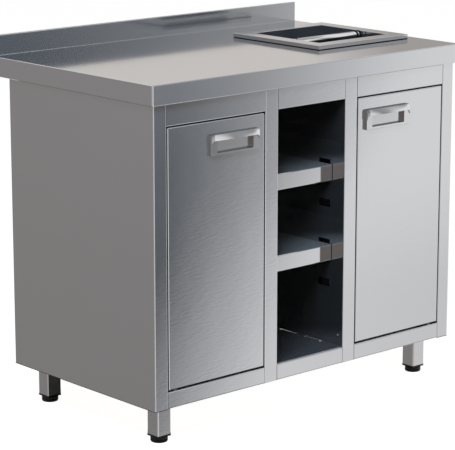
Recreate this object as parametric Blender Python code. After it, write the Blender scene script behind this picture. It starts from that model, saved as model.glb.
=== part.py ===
# Coffee station counter in folded stainless steel sheet.
# Metres, +Z up, +X along the counter to the right, +Y to the back, floor at zero.
import math

import bmesh
import bpy
from mathutils import Matrix, Vector

for item in list(bpy.data.objects):
    bpy.data.objects.remove(item, do_unlink=True)

# Clearances and sheet
fit = 0.0003
sheet = 0.0010
bend_radius = 0.0015
edge_radius = 0.0020
corner_radius = 0.0030
seam = 0.0001
bend_steps = 3
corner_steps = 3
round_sides = 24

# Worktop
worktop_length = 1.000
worktop_depth = 0.600
worktop_height = 0.8545
worktop_sheet = 0.0012
skirt_height = 0.048
skirt_return = 0.0075
upstand_height = 0.050
upstand_bend = 0.0014
upstand_return = 0.008
upstand_hem = 0.010
core_thickness = 0.018
core_margin = 0.002

# Cabinet
side_overhang = 0.010
front_overhang = 0.010
rear_overhang = 0.050
cabinet_clearance = 0.0965
bottom_rail_height = 0.0395
top_rail_height = 0.051
outer_post = 0.038
middle_post = 0.041
post_return = 0.022
niche_width = 0.220
rear_flange = 0.018
side_flange = 0.018
rail_lip = 0.015
floor_turn = 0.020
floor_setback = 0.0035
drain_length = 0.0590
drain_width = 0.0022
drain_setback = 0.0730
drain_spacing = 0.0910
drain_end = 0.006
drain_end_width = 0.0040

# Doors
door_depth = 0.020
door_gap_side = 0.0030
door_gap_top = 0.0032
door_gap_bottom = 0.0042
liner_turn = 0.004
pin_radius = 0.003
pin_inset = 0.023
pin_setback = 0.009
pin_head_radius = 0.006
pin_head_height = 0.003
pin_tail = 0.006
bush_wall = 0.002
bush_flange = 0.003
bush_length = 0.010
catch_width = 0.046
catch_height = 0.014
catch_depth = 0.014
catch_gap = 0.0005
catch_inset = 0.060

# Handles
handle_width = 0.149
handle_height = 0.0495
handle_plate = 0.0078
handle_bow = 0.0050
handle_drop = 0.0306
handle_margin = 0.0230
handle_corner = 0.0020
handle_round = 0.0004
window_side = 0.0185
window_low = 0.006
window_high = 0.006
window_depth = 0.010
cup_wall = 0.0010
hood_height = 0.014
hood_leg = 0.010
hood_corner = 0.006
hood_sheet = 0.0015
hood_proud = 0.0020
hood_sink = 0.0010
hood_steps = 12
hood_end_steps = 5

# Niche shelves
slot_drop = 0.2535
slot_spacing = 0.100
slot_rows = 4
slot_height = 0.020
slot_length = 0.040
slot_setback = 0.0485
slot_spread = 0.340
shelf_setback = 0.042
shelf_depth = 0.480
shelf_lip = 0.040
shelf_lip_return = 0.010
shelf_upturn = 0.012
shelf_side_gap = 0.0015
clip_sheet = 0.0015
clip_bend = 0.0010
clip_length = 0.036
clip_step = 0.006
clip_ledge = 0.018
clip_hook = 0.008
shelf_slots = {"shelf_upper": 0, "shelf_lower": 2}

# Knock-out chute
chute_inset = 0.190
chute_setback = 0.304
chute_outer = 0.314
chute_hole = 0.240
chute_rise = 0.0115
chute_drop = 0.250
chute_round = 0.0015
chute_clearance = 0.0020
seal_thickness = 0.0012
seal_width = 0.010
bar_radius = 0.010
bar_setback = 0.100
bar_sink = 0.0013
bar_round = 0.0010
ring_thickness = 0.0015
ring_width = 0.0032
ring_places = (0.0034, 0.0142)
bin_width = 0.270
bin_length = 0.320
bin_height = 0.420
bin_wall = 0.003
bin_taper = 0.006
bin_rim = 0.008
bin_rim_height = 0.010
bin_corner = 0.020

# Legs and feet
leg_size = 0.040
leg_wall = 0.0015
leg_inset_side = 0.041
leg_inset_front = 0.041
leg_inset_back = 0.038
leg_gap = 0.001
insert_flange = 0.004
insert_proud = 0.0004
insert_plug = 0.020
pad_radius = 0.0205
pad_height = 0.0140
pad_neck = 0.0165
pad_shoulder = 0.0027
pad_chamfer = 0.0015
stud_radius = 0.005
stud_length = 0.055

# Places worked out from the sizes above
half_length = worktop_length / 2
cabinet_half = half_length - side_overhang
front_reach = max(front_overhang, handle_plate + handle_bow + hood_proud)
overall_depth = front_reach - front_overhang + worktop_depth + upstand_return
front_y = front_reach - overall_depth / 2
worktop_front_y = front_y - front_overhang
worktop_back_y = worktop_front_y + worktop_depth
back_y = worktop_back_y - rear_overhang
top_z = worktop_height
cabinet_low_z = cabinet_clearance
rail_top_z = cabinet_low_z + bottom_rail_height
rail_under_z = top_z - skirt_height - top_rail_height
core_high_z = top_z - worktop_sheet - fit
core_low_z = core_high_z - core_thickness
carcass_high_z = core_low_z - fit
floor_low_z = rail_top_z + fit
floor_high_z = floor_low_z + sheet
floor_front_y = front_y + post_return + fit
panel_front_y = back_y - 2 * sheet - fit
niche_half = niche_width / 2
opening_inner = niche_half + middle_post
opening_outer = cabinet_half - outer_post
door_low_z = rail_top_z + door_gap_bottom
door_high_z = rail_under_z - door_gap_top
door_back_y = front_y + door_depth
pin_y = front_y + pin_setback
pin_x = opening_outer - door_gap_side - pin_inset
bush_bore = pin_radius + fit
bush_radius = bush_bore + bush_wall
catch_front_y = door_back_y + catch_gap
top_rail_flange = door_depth + catch_gap + catch_depth + rail_lip
bottom_rail_flange = leg_inset_front - leg_gap
chute_x = half_length - chute_inset
chute_y = worktop_front_y + chute_setback
chute_high_z = top_z + chute_rise
chute_low_z = top_z - chute_drop
seal_high_z = top_z + fit + seal_thickness
bar_z = chute_high_z - bar_sink - bar_radius
bar_y = chute_y - chute_hole / 2 + bar_setback
insert_low_z = pad_height + fit
leg_low_z = insert_low_z + insert_flange + fit


def finish(name, colour, roughness, metallic):
    made = bpy.data.materials.new(name)
    made.use_nodes = True
    shader = made.node_tree.nodes["Principled BSDF"]
    shader.inputs["Base Color"].default_value = (*colour, 1.0)
    shader.inputs["Roughness"].default_value = roughness
    shader.inputs["Metallic"].default_value = metallic
    return made


steel = finish("brushed_steel", (0.60, 0.60, 0.60), 0.38, 1.0)
polished = finish("polished_steel", (0.72, 0.72, 0.72), 0.15, 1.0)
galvanised = finish("galvanised_steel", (0.48, 0.49, 0.50), 0.5, 1.0)
board = finish("laminated_board", (0.32, 0.26, 0.20), 0.7, 0.0)
plastic = finish("black_plastic", (0.015, 0.015, 0.016), 0.5, 0.0)
rubber = finish("black_rubber", (0.012, 0.012, 0.012), 0.8, 0.0)
bin_plastic = finish("grey_plastic", (0.10, 0.10, 0.11), 0.55, 0.0)


def along(axis, u, v, w):
    # Point at w along an axis, with u and v across it in X, Y, Z order
    places = {"X": (w, u, v), "Y": (u, w, v), "Z": (u, v, w)}
    return Vector(places[axis])


def prism(outline, axis, low, high):
    # Closed outline pushed along an axis
    bm = bmesh.new()
    face = bm.faces.new([bm.verts.new(along(axis, u, v, low)) for u, v in outline])
    pushed = bmesh.ops.extrude_face_region(bm, geom=[face])["geom"]
    moved = [part for part in pushed if isinstance(part, bmesh.types.BMVert)]
    bmesh.ops.translate(bm, verts=moved, vec=along(axis, 0, 0, high - low))
    bmesh.ops.recalc_face_normals(bm, faces=bm.faces)
    return bm


def fold(path, thickness=sheet, radius=bend_radius):
    # Outline of a sheet folded along a path of middle-line points, with round bends
    points = [Vector(point) for point in path]
    runs = [(after - before).normalized() for before, after in zip(points, points[1:])]
    normals = [Vector((-run.y, run.x)) for run in runs]
    middle = [(points[0], normals[0])]
    for corner, run, normal, following in zip(points[1:], runs, normals, runs[1:]):
        turn = math.atan2(run.x * following.y - run.y * following.x, run.dot(following))
        side = math.copysign(radius, turn)
        centre = corner - run * radius * math.tan(abs(turn) / 2) + normal * side
        for step in range(bend_steps + 1):
            spoke = Matrix.Rotation(turn * step / bend_steps, 2) @ normal
            middle.append((centre - spoke * side, spoke))
    middle.append((points[-1], normals[-1]))
    half = thickness / 2
    left = [point + normal * half for point, normal in middle]
    right = [point - normal * half for point, normal in middle]
    return left + right[::-1]


def loft(loops, ring=False):
    # First loop of points extruded through the others: capped at both ends, or joined last to first
    bm = bmesh.new()
    first = [bm.verts.new(point) for point in loops[0]]
    face = bm.faces.new(first)
    for loop in loops[1:] + loops[:1] * ring:
        face = bmesh.ops.extrude_discrete_faces(bm, faces=[face])["faces"][0]
        for vert, point in zip(face.verts, loop):
            vert.co = point
    if ring:
        bmesh.ops.delete(bm, geom=[face], context="FACES_ONLY")
        bmesh.ops.remove_doubles(bm, verts=bm.verts, dist=1e-6)
    else:
        bm.faces.new(first)
    bmesh.ops.recalc_face_normals(bm, faces=bm.faces)
    return bm


def rectangle(axis, w, half_u, half_v, centre, radius=0.0):
    # Loop round a rectangle across an axis, its corners rounded where a radius is given
    steps = corner_steps if radius else 0
    loop = []
    for quarter, (sign_u, sign_v) in enumerate(((1, 1), (-1, 1), (-1, -1), (1, -1))):
        for step in range(steps + 1):
            angle = (quarter + (step / steps if steps else 0)) * math.pi / 2
            u = centre[0] + sign_u * (half_u - radius) + radius * math.cos(angle)
            v = centre[1] + sign_v * (half_v - radius) + radius * math.sin(angle)
            loop.append(along(axis, u, v, w))
    return loop


def circle(axis, w, radius, centre, sides=round_sides):
    # Loop round a circle across an axis
    angles = [(step + 0.5) * math.tau / sides for step in range(sides)]
    return [along(axis, centre[0] + radius * math.cos(a), centre[1] + radius * math.sin(a), w)
            for a in angles]


def rounding(radius, steps=bend_steps):
    # Pairs of (inward, onward) shares of a radius round a quarter bend, from its side to its end
    angles = [math.pi / 2 * step / steps for step in range(steps + 1)]
    return [(radius * (1 - math.cos(a)), radius * math.sin(a)) for a in angles]


def put_box(bm, low, high):
    size = Vector(high) - Vector(low)
    place = Matrix.Translation((Vector(low) + Vector(high)) / 2) @ Matrix.Diagonal((*size, 1.0))
    bmesh.ops.create_cube(bm, size=1.0, matrix=place)


def put_rod(bm, x, y, low, high, radius):
    place = Matrix.Translation((x, y, (low + high) / 2))
    bmesh.ops.create_cone(bm, cap_ends=True, segments=round_sides, radius1=radius,
                          radius2=radius, depth=high - low, matrix=place)


def add(name, bm, material, pivot=None, smooth=False):
    # Object from a finished mesh, hung on a joint's empty where it moves
    if pivot:
        bmesh.ops.translate(bm, verts=bm.verts, vec=-pivot.location)
    mesh = bpy.data.meshes.new(name)
    bm.to_mesh(mesh)
    bm.free()
    mesh.materials.append(material)
    if smooth:
        mesh.shade_smooth()
        mesh.set_sharp_from_angle(angle=math.radians(40))
    made = bpy.data.objects.new(name, mesh)
    made.parent = pivot
    bpy.context.scene.collection.objects.link(made)
    return made


def empty(name, location):
    made = bpy.data.objects.new(name, None)
    made.location = location
    bpy.context.scene.collection.objects.link(made)
    return made


def combine(target, name, bm, operation):
    # Live Boolean with a helper solid that is left out of the model
    helper = add(name, bm, target.data.materials[0])
    helper.hide_render = True
    helper.display_type = "WIRE"
    modifier = target.modifiers.new(name, "BOOLEAN")
    modifier.operation = operation
    modifier.solver = "EXACT"
    modifier.object = helper


def mirrored(side, path):
    return [(side * x, y) for x, y in path]


def make_worktop():
    # Open-bottomed tray with a skirt and a small return all round
    centre = (0.0, (worktop_front_y + worktop_back_y) / 2)
    half_depth = worktop_depth / 2
    under_z = top_z - skirt_height

    def level(z, inset):
        return rectangle("Z", z, half_length - inset, half_depth - inset, centre,
                         corner_radius - min(inset, edge_radius))

    loops = [
        level(top_z - worktop_sheet, worktop_sheet),
        level(under_z + worktop_sheet, worktop_sheet),
        level(under_z + worktop_sheet, skirt_return),
        level(under_z, skirt_return),
    ]
    loops += [level(under_z + edge_radius - onward, inward) for inward, onward in reversed(rounding(edge_radius))]
    loops += [level(top_z - edge_radius + onward, inward) for inward, onward in rounding(edge_radius)]
    worktop = add("worktop", loft(loops), steel)

    # The upstand's foot lies inside the top sheet, so it is a little thinner
    foot_sheet = worktop_sheet - 2 * seam
    middle_z = top_z - worktop_sheet / 2
    middle_y = worktop_back_y - worktop_sheet / 2
    crest_z = top_z + upstand_height - foot_sheet / 2
    hem_y = worktop_back_y + upstand_return - foot_sheet / 2
    path = [
        (middle_y - 4 * upstand_bend, middle_z),
        (middle_y, middle_z),
        (middle_y, crest_z),
        (hem_y, crest_z),
        (hem_y, top_z + upstand_height - upstand_hem),
    ]
    outline = fold(path, foot_sheet, upstand_bend)
    end_x = half_length - edge_radius / 4
    combine(worktop, "upstand", prism(outline, "X", -end_x, end_x), "UNION")

    hole = bmesh.new()
    half_hole = chute_hole / 2 + sheet + chute_clearance
    put_box(hole, (chute_x - half_hole, chute_y - half_hole, core_low_z),
            (chute_x + half_hole, chute_y + half_hole, chute_high_z))
    combine(worktop, "worktop_hole", hole, "DIFFERENCE")

    # Board under the sheet, with the same square hole
    half_x = half_length - worktop_sheet - core_margin
    half_y = half_depth - worktop_sheet - core_margin
    hole_centre = (chute_x, chute_y)
    loops = [
        rectangle("Z", core_low_z, half_x, half_y, centre),
        rectangle("Z", core_high_z, half_x, half_y, centre),
        rectangle("Z", core_high_z, half_hole, half_hole, hole_centre),
        rectangle("Z", core_low_z, half_hole, half_hole, hole_centre),
    ]
    add("worktop_core", loft(loops, ring=True), board)


def make_side(name, side):
    # Side sheet folded round the front into the outer post, and round the back
    half = sheet / 2
    wall_x = cabinet_half - half
    post_x = opening_outer + half
    path = [
        (post_x, front_y + post_return),
        (post_x, front_y + half),
        (wall_x, front_y + half),
        (wall_x, back_y - half),
        (cabinet_half - rear_flange, back_y - half),
    ]
    panel = prism(fold(mirrored(side, path)), "Z", cabinet_low_z, carcass_high_z)
    panel = add(name, panel, steel)
    # Inward flanges along the top and bottom edges
    flanges = bmesh.new()
    reach = sorted((side * wall_x, side * (cabinet_half - side_flange)))
    for low_z in (cabinet_low_z + half, carcass_high_z - half - sheet):
        put_box(flanges, (reach[0], front_y + 2 * edge_radius, low_z),
                (reach[1], panel_front_y - fit, low_z + sheet))
    combine(panel, name + "_flanges", flanges, "UNION")


def slot_low_z(row):
    return top_z - slot_drop - slot_height - row * slot_spacing


def slot_low_y(column):
    return front_y + slot_setback + column * slot_spread


def make_divider(name, side):
    # Niche wall folded round the front into the middle post, flanged at the back panel
    half = sheet / 2
    wall_x = niche_half + half
    post_x = opening_inner - half
    wall_back_y = panel_front_y - fit - half
    path = [
        (post_x, front_y + post_return),
        (post_x, front_y + half),
        (wall_x, front_y + half),
        (wall_x, wall_back_y),
        (niche_half + rear_flange, wall_back_y),
    ]
    divider = prism(fold(mirrored(side, path)), "Z", cabinet_low_z, carcass_high_z)
    divider = add(name, divider, steel)
    cuts = bmesh.new()
    near, far = sorted((side * (niche_half - sheet), side * (niche_half + 2 * sheet)))
    for row in range(slot_rows):
        for column in range(2):
            low = (near, slot_low_y(column), slot_low_z(row))
            put_box(cuts, low, (far, low[1] + slot_length, low[2] + slot_height))
    # Only the post runs below the floor
    foot = sorted((side * (niche_half - sheet), side * (niche_half + rear_flange + sheet)))
    put_box(cuts, (foot[0], floor_front_y - fit, cabinet_low_z - sheet),
            (foot[1], back_y, floor_high_z + fit))
    combine(divider, name + "_cuts", cuts, "DIFFERENCE")


def make_rails():
    # Short channels between the posts, above and below the doors and the niche
    half = sheet / 2
    spans = {
        "left": (-opening_outer, -opening_inner),
        "middle": (-niche_half, niche_half),
        "right": (opening_inner, opening_outer),
    }
    top_path = [
        (front_y + rail_lip, carcass_high_z - half),
        (front_y + half, carcass_high_z - half),
        (front_y + half, rail_under_z + half),
        (front_y + top_rail_flange, rail_under_z + half),
    ]
    bottom_path = [
        (front_y + bottom_rail_flange, rail_top_z - half),
        (front_y + half, rail_top_z - half),
        (front_y + half, cabinet_low_z + half),
        (front_y + rail_lip, cabinet_low_z + half),
    ]
    for place, (low, high) in spans.items():
        for level, path, edge_z in (("top", top_path, rail_under_z), ("bottom", bottom_path, rail_top_z)):
            name = f"{level}_rail_{place}"
            rail = add(name, prism(fold(path), "X", low + fit, high - fit), steel)
            if place != "middle":
                side = math.copysign(1, low)
                hole = bmesh.new()
                put_rod(hole, side * pin_x, pin_y, edge_z - 2 * sheet, edge_z + 2 * sheet, bush_bore)
                combine(rail, name + "_hole", hole, "DIFFERENCE")


def make_floor_and_back():
    half = sheet / 2
    inside = cabinet_half - sheet - fit
    middle_z = floor_low_z + half
    turn_y = panel_front_y - fit - half
    tongue_y = front_y + floor_setback
    path = [(tongue_y, middle_z), (turn_y, middle_z), (turn_y, middle_z - floor_turn)]
    floor = add("bottom_panel", prism(fold(path), "X", -inside, inside), steel)
    # The floor reaches the front in the niche only, and stays behind the posts and doors
    corners = bmesh.new()
    for side in (-1, 1):
        reach = sorted((side * (niche_half - fit), side * cabinet_half))
        put_box(corners, (reach[0], front_y, floor_low_z - sheet),
                (reach[1], floor_front_y, floor_high_z + sheet))
    combine(floor, "floor_corners", corners, "DIFFERENCE")
    # Narrow drain slits along both niche walls, a little wider at their ends
    slits = bmesh.new()
    ends = bmesh.new()
    for side in (-1, 1):
        slit = sorted((side * niche_half, side * (niche_half - drain_width)))
        end = sorted((side * (niche_half - seam), side * (niche_half - drain_end_width)))
        for place in range(2):
            low_y = front_y + drain_setback + place * drain_spacing
            high_y = low_y + drain_length
            put_box(slits, (slit[0], low_y + seam, floor_low_z - sheet),
                    (slit[1], high_y - seam, floor_high_z + sheet))
            for near_y in (low_y, high_y - drain_end):
                put_box(ends, (end[0], near_y, floor_low_z - sheet),
                        (end[1], near_y + drain_end, floor_high_z + sheet))
    combine(floor, "drain_slits", slits, "DIFFERENCE")
    combine(floor, "drain_ends", ends, "DIFFERENCE")

    # The back panel stays clear of the sides' rear bends
    clear = inside - bend_radius
    back = bmesh.new()
    put_box(back, (-clear, panel_front_y, cabinet_low_z),
            (clear, panel_front_y + sheet, carcass_high_z))
    add("back_panel", back, steel)


def make_legs():
    half = leg_size / 2
    x = cabinet_half - leg_inset_side - half
    rows = {
        "front": front_y + leg_inset_front + half,
        "back": back_y - leg_inset_back - half,
    }
    for row, y in rows.items():
        for place, side in (("left", -1), ("right", 1)):
            centre = (side * x, y)
            make_leg(f"{row}_{place}", centre, half)


def make_leg(place, centre, half):
    # Square tube closed at the top, plastic insert in its lower end, foot screwed into that
    bore = half - leg_wall
    bore_corner = corner_radius - leg_wall
    loops = [
        rectangle("Z", rail_top_z - leg_wall, bore, bore, centre, bore_corner),
        rectangle("Z", leg_low_z, bore, bore, centre, bore_corner),
        rectangle("Z", leg_low_z, half, half, centre, corner_radius),
        rectangle("Z", rail_top_z, half, half, centre, corner_radius),
    ]
    add("leg_" + place, loft(loops), steel)

    plug = bore - fit
    lip = half + insert_proud
    flange_z = leg_low_z - fit
    plug_z = leg_low_z + insert_plug
    hole = stud_radius + fit
    sides = 4 * (corner_steps + 1)
    loops = [
        rectangle("Z", plug_z, plug, plug, centre, bore_corner),
        rectangle("Z", flange_z, plug, plug, centre, bore_corner),
        rectangle("Z", flange_z, lip, lip, centre, corner_radius),
        rectangle("Z", insert_low_z, lip, lip, centre, corner_radius),
        circle("Z", insert_low_z, hole, centre, sides),
        circle("Z", plug_z, hole, centre, sides),
    ]
    add("leg_insert_" + place, loft(loops, ring=True), plastic)

    pivot = empty("foot_axis_" + place, (*centre, 0.0))
    profile = [
        (stud_radius, stud_length),
        (stud_radius, pad_height),
        (pad_neck, pad_height),
        (pad_radius, pad_height - pad_shoulder),
        (pad_radius, pad_chamfer),
        (pad_radius - pad_chamfer, 0.0),
    ]
    loops = [circle("Z", z, radius, centre) for radius, z in profile]
    add("foot_" + place, loft(loops), plastic, pivot, smooth=True)


def make_door(place, side):
    pivot = empty("door_axis_" + place, (side * pin_x, pin_y, door_low_z))
    half_x = (opening_outer - opening_inner) / 2 - door_gap_side
    half_z = (door_high_z - door_low_z) / 2
    centre = (side * (opening_outer + opening_inner) / 2, (door_high_z + door_low_z) / 2)

    def frame(y, inset):
        return rectangle("Y", y, half_x - inset, half_z - inset, centre,
                         corner_radius - min(inset, edge_radius))

    # Outer pan, open to the back
    loops = [
        frame(front_y + sheet, sheet),
        frame(door_back_y, sheet),
        frame(door_back_y, 0.0),
    ]
    loops += [frame(front_y + edge_radius - onward, inward) for inward, onward in rounding(edge_radius)]
    skin = add(f"door_{place}_skin", loft(loops), steel, pivot)

    # Inner pan that closes it
    rim = sheet + fit
    loops = [
        frame(door_back_y - sheet, rim + sheet),
        frame(door_back_y - liner_turn, rim + sheet),
        frame(door_back_y - liner_turn, rim),
        frame(door_back_y, rim),
    ]
    add(f"door_{place}_liner", loft(loops), steel, pivot)

    window = make_handle(place, side, pivot)
    cuts = bmesh.new()
    put_box(cuts, (window[0] - cup_wall - fit, front_y - sheet, window[2] - cup_wall - fit),
            (window[1] + cup_wall + fit, front_y + 2 * sheet, window[3] + cup_wall + fit))
    for edge_z in (door_low_z, door_high_z):
        put_rod(cuts, side * pin_x, pin_y, edge_z - 2 * sheet, edge_z + 2 * sheet, bush_radius + fit)
    combine(skin, f"door_{place}_cuts", cuts, "DIFFERENCE")

    make_pivots(place, side, pivot)
    make_catch(place, side)


def make_handle(place, side, pivot):
    # Framed plate with a finger pocket sunk through the door, and a bowed hood over its upper half
    half_x = handle_width / 2
    half_z = handle_height / 2
    x = side * (opening_inner + door_gap_side + handle_margin + half_x)
    high_z = door_high_z - handle_drop
    middle = (x, high_z - half_z)
    window_half_x = half_x - window_side
    window_high_z = high_z - window_high
    window_low_z = high_z - handle_height + window_low
    window_half_z = (window_high_z - window_low_z) / 2
    window_middle = (x, (window_high_z + window_low_z) / 2)
    seat_y = front_y - fit
    face_y = front_y - handle_plate
    cup_y = face_y + window_depth
    cup = (window_half_x + cup_wall, window_half_z + cup_wall, window_middle, corner_radius)
    window = (window_half_x, window_half_z, window_middle, corner_radius - cup_wall)
    loops = [
        rectangle("Y", cup_y + cup_wall, *cup),
        rectangle("Y", seat_y, *cup),
        rectangle("Y", seat_y, half_x, half_z, middle, handle_corner),
    ]
    loops += [
        rectangle("Y", face_y + handle_round - onward, half_x - inward, half_z - inward, middle,
                  handle_corner - inward)
        for inward, onward in rounding(handle_round, 2)
    ]
    loops += [rectangle("Y", face_y, *window), rectangle("Y", cup_y, *window)]
    handle = add("handle_" + place, loft(loops), polished, pivot)

    # Stations along the hood, closer at the ends where its lower edge turns down in a quarter round
    reach = half_x - handle_round
    straight = reach - hood_leg
    stations = [(straight * (2 * step / hood_steps - 1), 0.0) for step in range(hood_steps + 1)]
    for inward, onward in rounding(hood_leg, hood_end_steps)[1:]:
        stations.append((straight + onward, inward))
        stations.insert(0, (-straight - onward, inward))
    loops = []
    for offset, drop in stations:
        share = (offset / reach) ** 2
        past = max(0.0, abs(offset) - reach + hood_corner)
        shoulder = hood_corner - math.sqrt(max(0.0, hood_corner ** 2 - past ** 2))
        crest_z = high_z - handle_round / 2 - shoulder
        low_z = high_z - hood_height - drop
        lip_y = face_y - hood_proud - handle_bow * (1 - share)
        lip_thickness = hood_sheet + (hood_proud + hood_sink - hood_sheet) * share
        section = [
            (face_y - hood_proud, crest_z),
            (lip_y, low_z),
            (lip_y + lip_thickness, low_z),
            (face_y + hood_sink, crest_z - hood_sheet),
            (face_y + hood_sink, crest_z),
        ]
        loops.append([along("X", y, z, x + offset) for y, z in section])
    combine(handle, f"handle_{place}_hood", loft(loops), "UNION")
    return (x - window_half_x, x + window_half_x, window_low_z, window_high_z)


def make_pivots(place, side, pivot):
    # Pins held by the rails, turning in flanged bushes in the door's top and bottom edges
    centre = (side * pin_x, pin_y)
    thrust = (door_gap_bottom - 3 * fit) / 2
    flange_radius = bush_radius + bush_flange
    head_z = rail_under_z + sheet + fit
    top_pin = [
        (pin_radius, door_high_z - bush_length),
        (pin_radius, head_z),
        (pin_head_radius, head_z),
        (pin_head_radius, head_z + pin_head_height),
    ]
    collar_z = rail_top_z + fit
    bottom_pin = [
        (pin_radius, rail_top_z - pin_tail),
        (pin_radius, collar_z),
        (pin_head_radius, collar_z),
        (pin_head_radius, collar_z + thrust),
        (pin_radius, collar_z + thrust),
        (pin_radius, door_low_z + bush_length),
    ]
    for level, profile in (("top", top_pin), ("bottom", bottom_pin)):
        loops = [circle("Z", z, radius, centre) for radius, z in profile]
        add(f"hinge_pin_{place}_{level}", loft(loops), galvanised, smooth=True)

    top_bush = [
        (bush_bore, door_high_z - bush_length),
        (bush_radius, door_high_z - bush_length),
        (bush_radius, door_high_z + fit),
        (flange_radius, door_high_z + fit),
        (flange_radius, rail_under_z - fit),
        (bush_bore, rail_under_z - fit),
    ]
    bottom_bush = [
        (bush_bore, door_low_z + bush_length),
        (bush_radius, door_low_z + bush_length),
        (bush_radius, door_low_z - fit),
        (flange_radius, door_low_z - fit),
        (flange_radius, door_low_z - fit - thrust),
        (bush_bore, door_low_z - fit - thrust),
    ]
    for level, profile in (("top", top_bush), ("bottom", bottom_bush)):
        loops = [circle("Z", z, radius, centre) for radius, z in profile]
        add(f"hinge_bush_{place}_{level}", loft(loops, ring=True), plastic, pivot, smooth=True)


def make_catch(place, side):
    # Magnetic catch under the top rail, just behind the closed door's free edge
    x = side * (opening_inner + catch_inset)
    high_z = rail_under_z - fit
    centre = (x, high_z - catch_height / 2)
    half_x = catch_width / 2
    half_z = catch_height / 2
    loops = [
        rectangle("Y", catch_front_y + catch_depth, half_x, half_z, centre, corner_radius),
        rectangle("Y", catch_front_y, half_x, half_z, centre, corner_radius),
        rectangle("Y", catch_front_y, half_x - corner_radius, half_z - corner_radius, centre, edge_radius),
        rectangle("Y", catch_front_y + sheet, half_x - corner_radius, half_z - corner_radius, centre,
                  edge_radius),
    ]
    add("catch_" + place, loft(loops), plastic)


def make_shelf(name, row):
    # Shelf with a tall front lip and a low rear upturn, loose on four clips hooked in the wall slots
    tongue_z = slot_low_z(row) + fit + clip_sheet / 2
    ledge_z = tongue_z + clip_step
    half = sheet / 2
    middle_z = ledge_z + clip_sheet / 2 + fit + half
    high_z = middle_z + half
    front = front_y + shelf_setback + half
    rear = front_y + shelf_setback + shelf_depth - half
    lip_z = high_z - shelf_lip + half
    path = [
        (front + shelf_lip_return, lip_z),
        (front, lip_z),
        (front, middle_z),
        (rear, middle_z),
        (rear, high_z + shelf_upturn),
    ]
    half_width = niche_half - shelf_side_gap
    pivot = empty(name + "_runner", (0.0, front_y + shelf_setback, high_z))
    add(name, prism(fold(path), "X", -half_width, half_width), steel, pivot)

    behind_x = niche_half + sheet + fit + clip_sheet / 2
    inside_x = niche_half - fit - clip_sheet / 2
    for place, side in (("left", -1), ("right", 1)):
        path = [
            (behind_x, slot_low_z(row) - clip_hook),
            (behind_x, tongue_z),
            (inside_x, tongue_z),
            (inside_x, ledge_z),
            (niche_half - clip_ledge, ledge_z),
        ]
        outline = fold(mirrored(side, path), clip_sheet, clip_bend)
        for column, depth in enumerate(("front", "back")):
            low_y = slot_low_y(column) + (slot_length - clip_length) / 2
            clip = prism(outline, "Y", low_y, low_y + clip_length)
            level = name.split("_")[1]
            add(f"shelf_clip_{level}_{depth}_{place}", clip, galvanised)


def make_chute():
    # Raised frame and duct as one welded sheet ring, standing on its seal
    centre = (chute_x, chute_y)
    hole = chute_hole / 2
    rim = (chute_outer - chute_hole) / 2
    lip_z = seal_high_z + fit
    profile = [(0.0, chute_low_z)]
    profile += [(inward, chute_high_z - chute_round + onward) for inward, onward in rounding(chute_round)]
    profile += [(rim - inward, chute_high_z - chute_round + onward)
                for inward, onward in reversed(rounding(chute_round))]
    profile += [
        (rim, lip_z),
        (rim - sheet, lip_z),
        (rim - sheet, chute_high_z - sheet),
        (sheet, chute_high_z - sheet),
        (sheet, chute_low_z),
    ]
    loops = [rectangle("Z", z, hole + out, hole + out, centre) for out, z in profile]
    add("chute", loft(loops, ring=True), steel)

    low_z = top_z + fit
    outer = chute_outer / 2 - fit
    inner = outer - seal_width
    levels = [(outer, low_z), (outer, seal_high_z), (inner, seal_high_z), (inner, low_z)]
    loops = [rectangle("Z", z, half, half, centre) for half, z in levels]
    add("chute_seal", loft(loops, ring=True), rubber)

    # Knock bar between the duct's side walls, with rubber rings near both ends
    bar_centre = (bar_y, bar_z)
    bar_half = hole - fit
    ends = [(bar_radius - inward, bar_half - bar_round + onward) for inward, onward in rounding(bar_round)]
    loops = [circle("X", chute_x - w, radius, bar_centre) for radius, w in reversed(ends)]
    loops += [circle("X", chute_x + w, radius, bar_centre) for radius, w in ends]
    add("knock_bar", loft(loops), polished, smooth=True)

    bore = bar_radius + fit
    crown = bore + ring_thickness
    half_ring = ring_width / 2
    for place, side in (("left", -1), ("right", 1)):
        for number, inset in enumerate(ring_places, 1):
            x = chute_x + side * (hole - inset)
            profile = [
                (bore, x - half_ring),
                (crown - ring_thickness / 2, x - half_ring),
                (crown, x - half_ring / 2),
                (crown, x + half_ring / 2),
                (crown - ring_thickness / 2, x + half_ring),
                (bore, x + half_ring),
            ]
            loops = [circle("X", w, radius, bar_centre) for radius, w in profile]
            add(f"bar_ring_{place}_{number}", loft(loops, ring=True), rubber, smooth=True)


def make_bin():
    # Open bin under the duct, standing on the cupboard floor
    centre = (chute_x, chute_y)
    low_z = floor_high_z + fit
    high_z = low_z + bin_height
    half_x = bin_width / 2
    half_y = bin_length / 2

    def level(z, inset):
        return rectangle("Z", z, half_x - inset, half_y - inset, centre, bin_corner)

    loops = [
        level(low_z, bin_rim + bin_taper),
        level(high_z - bin_rim_height, bin_rim),
        level(high_z - bin_rim_height, 0.0),
        level(high_z, 0.0),
        level(high_z, bin_rim + bin_wall),
        level(low_z + bin_wall, bin_rim + bin_taper + bin_wall),
    ]
    add("waste_bin", loft(loops), bin_plastic)


make_worktop()
for name, side in (("left", -1), ("right", 1)):
    make_side("side_" + name, side)
    make_divider("divider_" + name, side)
    make_door(name, side)
make_rails()
make_floor_and_back()
make_legs()
for name, row in shelf_slots.items():
    make_shelf(name, row)
make_chute()
make_bin()
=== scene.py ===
import math

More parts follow.
